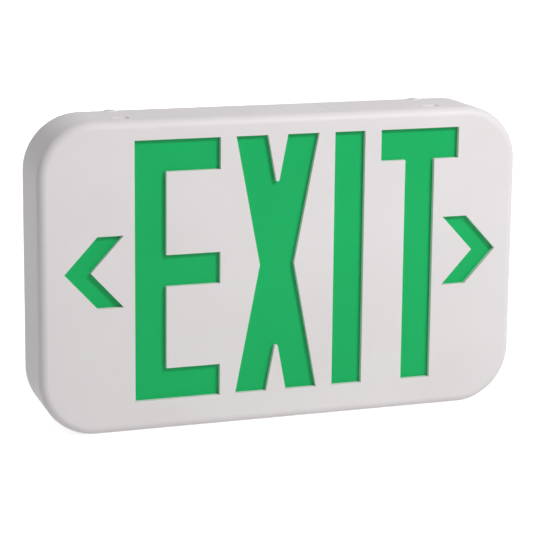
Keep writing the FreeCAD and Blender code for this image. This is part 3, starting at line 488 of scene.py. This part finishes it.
def beads(name, places, radius_mm, height_mm, sides, axis):
    """Small domes as one piece. They stand on a surface at the given places and point along one axis. Each
    sinks 0.05 mm into the surface and narrows to 0.55 of its radius, and its rims are rounded."""
    made = []
    turn = Vector(axis).to_track_quat("Z", "Y").to_euler()
    for place in places:
        bpy.ops.object.select_all(action="DESELECT")
        middle = Vector(place) + Vector(axis) * (height_mm / 2 - 0.05) * MM
        bpy.ops.mesh.primitive_cone_add(vertices=sides, radius1=radius_mm * MM, radius2=0.55 * radius_mm * MM,
                                        depth=height_mm * MM, location=middle, rotation=turn)
        bead = bpy.context.object
        bpy.ops.object.transform_apply(location=True, rotation=True, scale=True)
        apply(bead, "BEVEL", "round_off", width=0.3 * height_mm * MM, segments=2)
        bpy.ops.object.shade_smooth_by_angle(angle=math.radians(60))
        made.append(bead)
    return joined(made, name)


def latch_covers():
    """The thin webs low in the four latch slots, which are pressed in to free the latches. Each is a disc
    drawn out sideways to the slot's length, with a rounded rim."""
    slot_x, slot_y, web_z = 95 * MM, cad_lowest[1] + 13 * MM, 89.2 * MM
    radius, reach, thickness, sides = 2.96 * MM, 2 * MM, 1.1 * MM, 32
    covers = []
    for side in (-1, 1):
        for x in (-slot_x, slot_x):
            bpy.ops.object.select_all(action="DESELECT")
            bpy.ops.mesh.primitive_cylinder_add(vertices=sides, radius=radius, depth=thickness,
                                                location=(x, slot_y, side * web_z),
                                                rotation=(0, 0, math.pi / sides))
            cover = bpy.context.object
            bpy.ops.object.transform_apply(location=True, rotation=True, scale=True)
            push(cover, lambda v: v.x < x, (-reach, 0, 0))
            push(cover, lambda v: v.x > x, (reach, 0, 0))
            apply(cover, "BEVEL", "crown", width=0.25 * MM, segments=3, limit_method="ANGLE",
                  angle_limit=math.radians(60))
            bpy.ops.object.shade_smooth_by_angle(angle=math.radians(50))
            covers.append(cover)
    return joined(covers, "latch_covers")


def letter_pads():
    """The raised green pads on the diffuser: one slab, cut by the housing's own rims, of which only the pads
    in the openings stay."""
    front = cad_lowest[1] + PAD_DEPTH
    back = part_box("diffuser_panel")[0][1] - 0.01 * MM
    slab_width, slab_height = 276 * MM, 174 * MM
    openings_x, openings_z = 134 * MM, 82 * MM  # no opening reaches this far from the middle
    bpy.ops.object.select_all(action="DESELECT")
    bpy.ops.mesh.primitive_cube_add(size=1, location=(0, (front + back) / 2, 0),
                                    scale=(slab_width, back - front, slab_height))
    pads = bpy.context.object
    pads.name = "diffuser_pads"
    bpy.ops.object.transform_apply(location=True, rotation=True, scale=True)
    mould = copied("front_housing", "mould")
    bpy.ops.object.mode_set(mode="OBJECT")
    apply(pads, "BOOLEAN", "rims", operation="DIFFERENCE", solver="EXACT", object=mould)
    bpy.data.objects.remove(mould)
    pick(pads, lambda v: abs(v.x) > openings_x or abs(v.z) > openings_z)
    bpy.ops.mesh.select_linked()
    bpy.ops.mesh.delete(type="VERT")
    bpy.ops.mesh.select_all(action="SELECT")
    bpy.ops.mesh.remove_doubles(threshold=WELD)
    bpy.ops.mesh.normals_make_consistent(inside=False)
    bpy.ops.mesh.dissolve_limited(angle_limit=math.radians(0.5))
    bpy.ops.object.mode_set(mode="OBJECT")
    return pads


for node, material in FINISHES.items():
    wear(nodes[node], material)
bpy.ops.object.select_all(action="DESELECT")
for node in FINISHES:
    nodes[node].select_set(True)
bpy.context.view_layer.objects.active = nodes["back_plate"]
bpy.ops.object.shade_smooth_by_angle(angle=SMOOTH_ANGLE)

# The housing joins the list only here, so that its copies start without the marks of that shading.
FINISHES["front_housing"] = housing_abs
# Rigid parts whose sharp CAD edges are moulded, rolled or dipped round in the real one: piece, body, slot and
# radius in millimetres.
ROUNDED = {
    "front_housing": ("housing_moulding", "housing", "housing_white", 0.35),
    "canopy_blank": ("canopy_blank_moulding", "housing", "housing_white", 0.25),
    "back_plate": ("back_plate_moulding", "back_plate", "back_white", 0.3),
    "reflector_tray": ("tray_moulding", "back_plate", "tray_white", 0.3),
    "test_button": ("button_moulding", "test_button", "button_red", 0.25),
    "transformer_core": ("core_stack", "back_plate", "core_iron", 0.2),
    "transformer_coil": ("coil_winding", "back_plate", "coil_tape", 0.8),
    "film_capacitor": ("film_capacitor_dipped", "back_plate", "film_red", 0.8),
    "transfer_relay": ("relay_case", "back_plate", "relay_blue", 0.4),
    "terminal_block": ("terminal_case", "back_plate", "terminal_green", 0.25),
}
for node, (name, body, slot, radius_mm) in ROUNDED.items():
    piece = softened(node, name, radius_mm)
    if node == "canopy_blank":
        close_seam(piece)
    wear(piece, FINISHES[node])
    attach(piece, body)

# Solder at the legs of the two axial columns, on the board's front. Each column: its middle from the board's
# left, the distance from there to a leg, and its first row from the board's bottom, in millimetres.
AXIAL_COLUMNS = ((44, 4.5, 46), (24, 5, 34))
ROW_PITCH_MM, ROWS = 4.5, 4
board_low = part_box("main_board")[0]
legs = [(board_low[0] + (middle + side * reach) * MM, board_low[1],
         board_low[2] + (first - ROW_PITCH_MM * row) * MM)
        for middle, reach, first in AXIAL_COLUMNS for side in (-1, 1) for row in range(ROWS)]
solder = beads("solder_joints", legs, radius_mm=0.9, height_mm=0.7, sides=12, axis=(0, -1, 0))
wear(solder, solder_tin)
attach(solder, "back_plate")

# The silicone dome over the phosphor of every LED on both strips.
for strip, side in (("leds_upper", -1), ("leds_lower", 1)):
    low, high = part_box(strip)
    face_z = low[2] if side < 0 else high[2]
    places = [((n - (LEDS_PER_STRIP - 1) / 2) * LED_PITCH_MM * MM, (low[1] + high[1]) / 2, face_z)
              for n in range(LEDS_PER_STRIP)]
    domes = beads(strip + "_domes", places, radius_mm=1.1, height_mm=0.6, sides=20, axis=(0, 0, side))
    wear(domes, dome_silicone)
    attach(domes, "back_plate")

covers = latch_covers()
wear(covers, housing_abs)
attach(covers, "housing")
pads = letter_pads()
wear(pads, FINISHES["diffuser_panel"])
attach(pads, "housing")


# Studio: a white room, white to the camera and in gloss and paler as light.
def in_sight(tree):
    """One for rays from the camera, in gloss and through glass, and zero for the light on surfaces."""
    path = add(tree, "LightPath")
    seen = path.outputs["Is Camera Ray"]
    for ray in ("Is Glossy Ray", "Is Transmission Ray"):
        either = add(tree, "Math", links={0: seen, 1: path.outputs[ray]}, operation="MAXIMUM")
        seen = either.outputs["Value"]
    return seen


def studio_floor():
    """Matt white floor that glows where it is seen, so that it has no edge against the room."""
    material, tree, shader, _ = surface("floor_matt_white", {
        "Roughness": 0.9, "Base Color": srgb(0xEDEDED), "Specular IOR Level": 0.0,
        "Emission Color": (1, 1, 1, 1)})
    lift = add(tree, "Math", {1: 0.75}, {0: in_sight(tree)}, operation="MULTIPLY")
    tree.links.new(lift.outputs["Value"], shader.inputs["Emission Strength"])
    return material


FLOOR_SIZE, FLOOR_GAP = 60, 0.05 * MM
bpy.ops.object.select_all(action="DESELECT")
bpy.ops.mesh.primitive_plane_add(size=FLOOR_SIZE, location=(0, 0, cad_lowest[2] - FLOOR_GAP))
floor = bpy.context.object
floor.name = "floor"
wear(floor, studio_floor())

world = bpy.data.worlds.new("white_room")
bpy.context.scene.world = world
world.use_nodes = True
room = world.node_tree
room.nodes.clear()
level = add(room, "MapRange", {"To Min": 0.345, "To Max": 1.0}, {"Value": in_sight(room)})
light = add(room, "Background", {"Color": (1, 1, 1, 1)}, {"Strength": level.outputs["Result"]})
add(room, "OutputWorld", links={"Surface": light.outputs["Background"]})


def softbox(name, place, width, height, power):
    """Rectangular lamp aimed at the sign's middle."""
    lamp = bpy.data.lights.new(name, "AREA")
    lamp.shape = "RECTANGLE"
    lamp.size, lamp.size_y = width, height
    lamp.energy = power
    holder = bpy.data.objects.new(name, lamp)
    bpy.context.scene.collection.objects.link(holder)
    holder.location = place
    aim = Vector((0, -0.02, 0)) - Vector(place)
    holder.rotation_euler = aim.to_track_quat("-Z", "Y").to_euler()


softbox("key_upper_right", (0.5, -0.86, 0.79), width=0.26, height=0.26, power=8.7)
# A low strip behind, under the height of the top, so that it lights only the wall side.
softbox("wall_side_strip", (0.0, 1.5, 0.0), width=0.24, height=0.14, power=8.0)

# Camera: 19 degrees from the left and 11 degrees down, solved from the photograph's letters and outline. The
# picture's size, the focal length and the shift are in the photograph's pixels, the sensor in millimetres,
# the place in metres and the angles in radians.
PICTURE, FOCAL_LENGTH, SHIFT, SENSOR = 533, 1927.68, -60, 36.0
CAMERA_PLACE = (-0.3604456, -1.0777556, 0.2539923)
camera_data = bpy.data.cameras.new("camera")
camera_data.sensor_width = SENSOR
camera_data.lens = FOCAL_LENGTH / PICTURE * SENSOR
camera_data.shift_y = SHIFT / PICTURE
camera_data.clip_start = 0.05
camera_data.clip_end = 100.0
camera = bpy.data.objects.new("camera", camera_data)
bpy.context.scene.collection.objects.link(camera)
turn, tilt, roll = 0.3245, 0.1953, -0.0094
back = Vector((-math.sin(turn) * math.cos(tilt), -math.cos(turn) * math.cos(tilt), math.sin(tilt)))
level_right = (-back).cross(Vector((0, 0, 1))).normalized()
level_down = (-back).cross(level_right)
right = math.cos(roll) * level_right + math.sin(roll) * level_down
down = -math.sin(roll) * level_right + math.cos(roll) * level_down
axes = Matrix((right, -down, back)).transposed().to_4x4()
camera.matrix_world = Matrix.Translation(CAMERA_PLACE) @ axes
scene = bpy.context.scene
scene.camera = camera
scene.view_settings.view_transform = "Standard"
